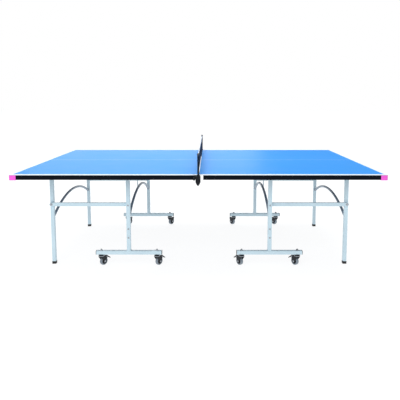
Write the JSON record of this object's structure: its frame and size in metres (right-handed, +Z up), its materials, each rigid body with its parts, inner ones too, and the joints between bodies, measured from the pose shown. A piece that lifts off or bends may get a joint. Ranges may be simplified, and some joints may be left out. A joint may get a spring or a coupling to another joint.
{
  "type": "table tennis table",
  "caption": "Rollaway table tennis table: two boards that fold up on castor trolleys, end legs on parallel link bars, and a lift-off net.",
  "frame": {"origin": "on the floor, at the centre of the footprint", "axes": "+X along the table, +Y away from the near side, +Z up"},
  "size_m": [2.746, 1.5986, 0.918],
  "materials": {
    "far_net_bracket_paint": "black",
    "far_net_post_paint": "satin black",
    "left_board_paint": "matt blue lacquer",
    "left_far_corner_paint": "moulded pink plastic",
    "left_far_end_leg_paint": "satin white powder coat",
    "left_far_foot_tube_paint": "satin white powder coat",
    "left_far_inner_fork_paint": "black",
    "left_far_inner_wheel_paint": "black tyre on a plastic hub",
    "left_far_link_bar_paint": "satin white powder coat",
    "left_far_outer_fork_paint": "black",
    "left_far_outer_wheel_paint": "black tyre on a plastic hub",
    "left_far_rubber_foot_paint": "black rubber",
    "left_far_upright_paint": "satin white powder coat",
    "left_frame_paint": "satin black powder coat",
    "left_leg_arch_paint": "satin white powder coat",
    "left_lock_hook_paint": "satin white powder coat",
    "left_near_corner_paint": "moulded pink plastic",
    "left_near_end_leg_paint": "satin white powder coat",
    "left_near_foot_tube_paint": "satin white powder coat",
    "left_near_inner_brake_pedal_paint": "black",
    "left_near_inner_fork_paint": "black",
    "left_near_inner_wheel_paint": "black tyre on a plastic hub",
    "left_near_link_bar_paint": "satin white powder coat",
    "left_near_outer_brake_pedal_paint": "black",
    "left_near_outer_fork_paint": "black",
    "left_near_outer_wheel_paint": "black tyre on a plastic hub",
    "left_near_rubber_foot_paint": "black rubber",
    "left_near_upright_paint": "satin white powder coat",
    "left_trolley_arch_paint": "satin white powder coat",
    "near_net_bracket_paint": "black",
    "near_net_post_paint": "satin black",
    "net_paint": "dark blue knotted mesh with a white top tape",
    "right_board_paint": "matt blue lacquer",
    "right_far_corner_paint": "moulded pink plastic",
    "right_far_end_leg_paint": "satin white powder coat",
    "right_far_foot_tube_paint": "satin white powder coat",
    "right_far_inner_fork_paint": "black",
    "right_far_inner_wheel_paint": "black tyre on a plastic hub",
    "right_far_link_bar_paint": "satin white powder coat",
    "right_far_outer_fork_paint": "black",
    "right_far_outer_wheel_paint": "black tyre on a plastic hub",
    "right_far_rubber_foot_paint": "black rubber",
    "right_far_upright_paint": "satin white powder coat",
    "right_frame_paint": "satin black powder coat",
    "right_leg_arch_paint": "satin white powder coat",
    "right_lock_hook_paint": "satin white powder coat",
    "right_near_corner_paint": "moulded pink plastic",
    "right_near_end_leg_paint": "satin white powder coat",
    "right_near_foot_tube_paint": "satin white powder coat",
    "right_near_inner_brake_pedal_paint": "black",
    "right_near_inner_fork_paint": "black",
    "right_near_inner_wheel_paint": "black tyre on a plastic hub",
    "right_near_link_bar_paint": "satin white powder coat",
    "right_near_outer_brake_pedal_paint": "black",
    "right_near_outer_fork_paint": "black",
    "right_near_outer_wheel_paint": "black tyre on a plastic hub",
    "right_near_rubber_foot_paint": "black rubber",
    "right_near_upright_paint": "satin white powder coat",
    "right_trolley_arch_paint": "satin white powder coat"
  },
  "bodies": {
    "left_trolley": {"left_trolley_arch": "left_trolley_arch_paint", "left_near_upright": "left_near_upright_paint", "left_near_foot_tube": "left_near_foot_tube_paint", "left_far_upright": "left_far_upright_paint", "left_far_foot_tube": "left_far_foot_tube_paint"},
    "left_top": {"left_board": "left_board_paint", "left_frame": "left_frame_paint", "left_near_corner": "left_near_corner_paint", "left_far_corner": "left_far_corner_paint", "near_net_bracket": "near_net_bracket_paint", "far_net_bracket": "far_net_bracket_paint"},
    "left_legs": {"left_leg_arch": "left_leg_arch_paint", "left_near_end_leg": "left_near_end_leg_paint", "left_near_rubber_foot": "left_near_rubber_foot_paint", "left_far_end_leg": "left_far_end_leg_paint", "left_far_rubber_foot": "left_far_rubber_foot_paint"},
    "left_link_bars": {"left_near_link_bar": "left_near_link_bar_paint", "left_far_link_bar": "left_far_link_bar_paint"},
    "left_hook": {"left_lock_hook": "left_lock_hook_paint"},
    "left_near_inner_castor": {"left_near_inner_fork": "left_near_inner_fork_paint"},
    "left_near_inner_wheel_body": {"left_near_inner_wheel": "left_near_inner_wheel_paint"},
    "left_near_inner_pedal": {"left_near_inner_brake_pedal": "left_near_inner_brake_pedal_paint"},
    "left_near_outer_castor": {"left_near_outer_fork": "left_near_outer_fork_paint"},
    "left_near_outer_wheel_body": {"left_near_outer_wheel": "left_near_outer_wheel_paint"},
    "left_near_outer_pedal": {"left_near_outer_brake_pedal": "left_near_outer_brake_pedal_paint"},
    "left_far_inner_castor": {"left_far_inner_fork": "left_far_inner_fork_paint"},
    "left_far_inner_wheel_body": {"left_far_inner_wheel": "left_far_inner_wheel_paint"},
    "left_far_outer_castor": {"left_far_outer_fork": "left_far_outer_fork_paint"},
    "left_far_outer_wheel_body": {"left_far_outer_wheel": "left_far_outer_wheel_paint"},
    "right_trolley": {"right_trolley_arch": "right_trolley_arch_paint", "right_near_upright": "right_near_upright_paint", "right_near_foot_tube": "right_near_foot_tube_paint", "right_far_upright": "right_far_upright_paint", "right_far_foot_tube": "right_far_foot_tube_paint"},
    "right_top": {"right_board": "right_board_paint", "right_frame": "right_frame_paint", "right_near_corner": "right_near_corner_paint", "right_far_corner": "right_far_corner_paint"},
    "right_legs": {"right_leg_arch": "right_leg_arch_paint", "right_near_end_leg": "right_near_end_leg_paint", "right_near_rubber_foot": "right_near_rubber_foot_paint", "right_far_end_leg": "right_far_end_leg_paint", "right_far_rubber_foot": "right_far_rubber_foot_paint"},
    "right_link_bars": {"right_near_link_bar": "right_near_link_bar_paint", "right_far_link_bar": "right_far_link_bar_paint"},
    "right_hook": {"right_lock_hook": "right_lock_hook_paint"},
    "right_near_inner_castor": {"right_near_inner_fork": "right_near_inner_fork_paint"},
    "right_near_inner_wheel_body": {"right_near_inner_wheel": "right_near_inner_wheel_paint"},
    "right_near_inner_pedal": {"right_near_inner_brake_pedal": "right_near_inner_brake_pedal_paint"},
    "right_near_outer_castor": {"right_near_outer_fork": "right_near_outer_fork_paint"},
    "right_near_outer_wheel_body": {"right_near_outer_wheel": "right_near_outer_wheel_paint"},
    "right_near_outer_pedal": {"right_near_outer_brake_pedal": "right_near_outer_brake_pedal_paint"},
    "right_far_inner_castor": {"right_far_inner_fork": "right_far_inner_fork_paint"},
    "right_far_inner_wheel_body": {"right_far_inner_wheel": "right_far_inner_wheel_paint"},
    "right_far_outer_castor": {"right_far_outer_fork": "right_far_outer_fork_paint"},
    "right_far_outer_wheel_body": {"right_far_outer_wheel": "right_far_outer_wheel_paint"},
    "net_set": {"near_net_post": "near_net_post_paint", "far_net_post": "far_net_post_paint", "net": "net_paint"}
  },
  "joints": [
    {"name": "left_fold", "type": "hinge", "parent": "left_trolley", "child": "left_top", "pos_m": [-0.55, 0, 0.7], "axis": [0, 1, 0], "range_deg": [0, 90]},
    {"name": "left_leg_hinge", "type": "hinge", "parent": "left_top", "child": "left_legs", "pos_m": [-1.155, 0, 0.7], "axis": [0, 1, 0], "range_deg": [-90, 0]},
    {"name": "left_link_hinge", "type": "hinge", "parent": "left_trolley", "child": "left_link_bars", "pos_m": [-0.55, 0, 0.484], "axis": [0, 1, 0], "range_deg": [0, 90]},
    {"name": "left_hook_hinge", "type": "hinge", "parent": "left_top", "child": "left_hook", "pos_m": [-0.562, 0, 0.595], "axis": [0, 1, 0], "range_deg": [0, 50]},
    {"name": "left_near_inner_swivel", "type": "hinge", "parent": "left_trolley", "child": "left_near_inner_castor", "pos_m": [-0.3315, -0.555, 0.085], "axis": [0, 0, 1], "continuous": true},
    {"name": "left_near_inner_spin", "type": "hinge", "parent": "left_near_inner_castor", "child": "left_near_inner_wheel_body", "pos_m": [-0.31841, -0.53731, 0.032], "axis": [-0.8039, 0.5948, 0], "continuous": true},
    {"name": "left_near_inner_brake", "type": "hinge", "parent": "left_near_inner_castor", "child": "left_near_inner_pedal", "pos_m": [-0.30652, -0.52124, 0.06595], "axis": [-0.8039, 0.5948, 0], "range_deg": [0, 8]},
    {"name": "left_near_outer_swivel", "type": "hinge", "parent": "left_trolley", "child": "left_near_outer_castor", "pos_m": [-0.7685, -0.555, 0.085], "axis": [0, 0, 1], "continuous": true},
    {"name": "left_near_outer_spin", "type": "hinge", "parent": "left_near_outer_castor", "child": "left_near_outer_wheel_body", "pos_m": [-0.75541, -0.53731, 0.032], "axis": [-0.8039, 0.5948, 0], "continuous": true},
    {"name": "left_near_outer_brake", "type": "hinge", "parent": "left_near_outer_castor", "child": "left_near_outer_pedal", "pos_m": [-0.74352, -0.52124, 0.06595], "axis": [-0.8039, 0.5948, 0], "range_deg": [0, 8]},
    {"name": "left_far_inner_swivel", "type": "hinge", "parent": "left_trolley", "child": "left_far_inner_castor", "pos_m": [-0.3315, 0.555, 0.085], "axis": [0, 0, 1], "continuous": true},
    {"name": "left_far_inner_spin", "type": "hinge", "parent": "left_far_inner_castor", "child": "left_far_inner_wheel_body", "pos_m": [-0.31841, 0.57268, 0.032], "axis": [-0.8039, 0.5948, 0], "continuous": true},
    {"name": "left_far_outer_swivel", "type": "hinge", "parent": "left_trolley", "child": "left_far_outer_castor", "pos_m": [-0.7685, 0.555, 0.085], "axis": [0, 0, 1], "continuous": true},
    {"name": "left_far_outer_spin", "type": "hinge", "parent": "left_far_outer_castor", "child": "left_far_outer_wheel_body", "pos_m": [-0.75541, 0.57268, 0.032], "axis": [-0.8039, 0.5948, 0], "continuous": true},
    {"name": "right_fold", "type": "hinge", "parent": "right_trolley", "child": "right_top", "pos_m": [0.55, 0, 0.7], "axis": [0, -1, 0], "range_deg": [0, 90]},
    {"name": "right_leg_hinge", "type": "hinge", "parent": "right_top", "child": "right_legs", "pos_m": [1.155, 0, 0.7], "axis": [0, -1, 0], "range_deg": [-90, 0]},
    {"name": "right_link_hinge", "type": "hinge", "parent": "right_trolley", "child": "right_link_bars", "pos_m": [0.55, 0, 0.484], "axis": [0, -1, 0], "range_deg": [0, 90]},
    {"name": "right_hook_hinge", "type": "hinge", "parent": "right_top", "child": "right_hook", "pos_m": [0.562, 0, 0.595], "axis": [0, -1, 0], "range_deg": [0, 50]},
    {"name": "right_near_inner_swivel", "type": "hinge", "parent": "right_trolley", "child": "right_near_inner_castor", "pos_m": [0.3315, -0.555, 0.085], "axis": [0, 0, 1], "continuous": true},
    {"name": "right_near_inner_spin", "type": "hinge", "parent": "right_near_inner_castor", "child": "right_near_inner_wheel_body", "pos_m": [0.31841, -0.53731, 0.032], "axis": [-0.8039, -0.5948, 0], "continuous": true},
    {"name": "right_near_inner_brake", "type": "hinge", "parent": "right_near_inner_castor", "child": "right_near_inner_pedal", "pos_m": [0.30652, -0.52124, 0.06595], "axis": [-0.8039, -0.5948, 0], "range_deg": [0, 8]},
    {"name": "right_near_outer_swivel", "type": "hinge", "parent": "right_trolley", "child": "right_near_outer_castor", "pos_m": [0.7685, -0.555, 0.085], "axis": [0, 0, 1], "continuous": true},
    {"name": "right_near_outer_spin", "type": "hinge", "parent": "right_near_outer_castor", "child": "right_near_outer_wheel_body", "pos_m": [0.75541, -0.53731, 0.032], "axis": [-0.8039, -0.5948, 0], "continuous": true},
    {"name": "right_near_outer_brake", "type": "hinge", "parent": "right_near_outer_castor", "child": "right_near_outer_pedal", "pos_m": [0.74352, -0.52124, 0.06595], "axis": [-0.8039, -0.5948, 0], "range_deg": [0, 8]},
    {"name": "right_far_inner_swivel", "type": "hinge", "parent": "right_trolley", "child": "right_far_inner_castor", "pos_m": [0.3315, 0.555, 0.085], "axis": [0, 0, 1], "continuous": true},
    {"name": "right_far_inner_spin", "type": "hinge", "parent": "right_far_inner_castor", "child": "right_far_inner_wheel_body", "pos_m": [0.31841, 0.57268, 0.032], "axis": [-0.8039, -0.5948, 0], "continuous": true},
    {"name": "right_far_outer_swivel", "type": "hinge", "parent": "right_trolley", "child": "right_far_outer_castor", "pos_m": [0.7685, 0.555, 0.085], "axis": [0, 0, 1], "continuous": true},
    {"name": "right_far_outer_spin", "type": "hinge", "parent": "right_far_outer_castor", "child": "right_far_outer_wheel_body", "pos_m": [0.75541, 0.57268, 0.032], "axis": [-0.8039, -0.5948, 0], "continuous": true},
    {"name": "halves_apart", "type": "slide", "parent": "left_trolley", "child": "right_trolley", "axis": [1, 0, 0], "range_m": [0, 0.5]},
    {"name": "net_lift", "type": "slide", "parent": "left_trolley", "child": "net_set", "axis": [0, 0, 1], "range_m": [0, 0.3]}
  ],
  "couplings": [
    {"joint": "left_leg_hinge", "follows": "left_fold", "ratio": -1},
    {"joint": "left_link_hinge", "follows": "left_fold", "ratio": 1},
    {"joint": "right_leg_hinge", "follows": "right_fold", "ratio": -1},
    {"joint": "right_link_hinge", "follows": "right_fold", "ratio": 1}
  ]
}
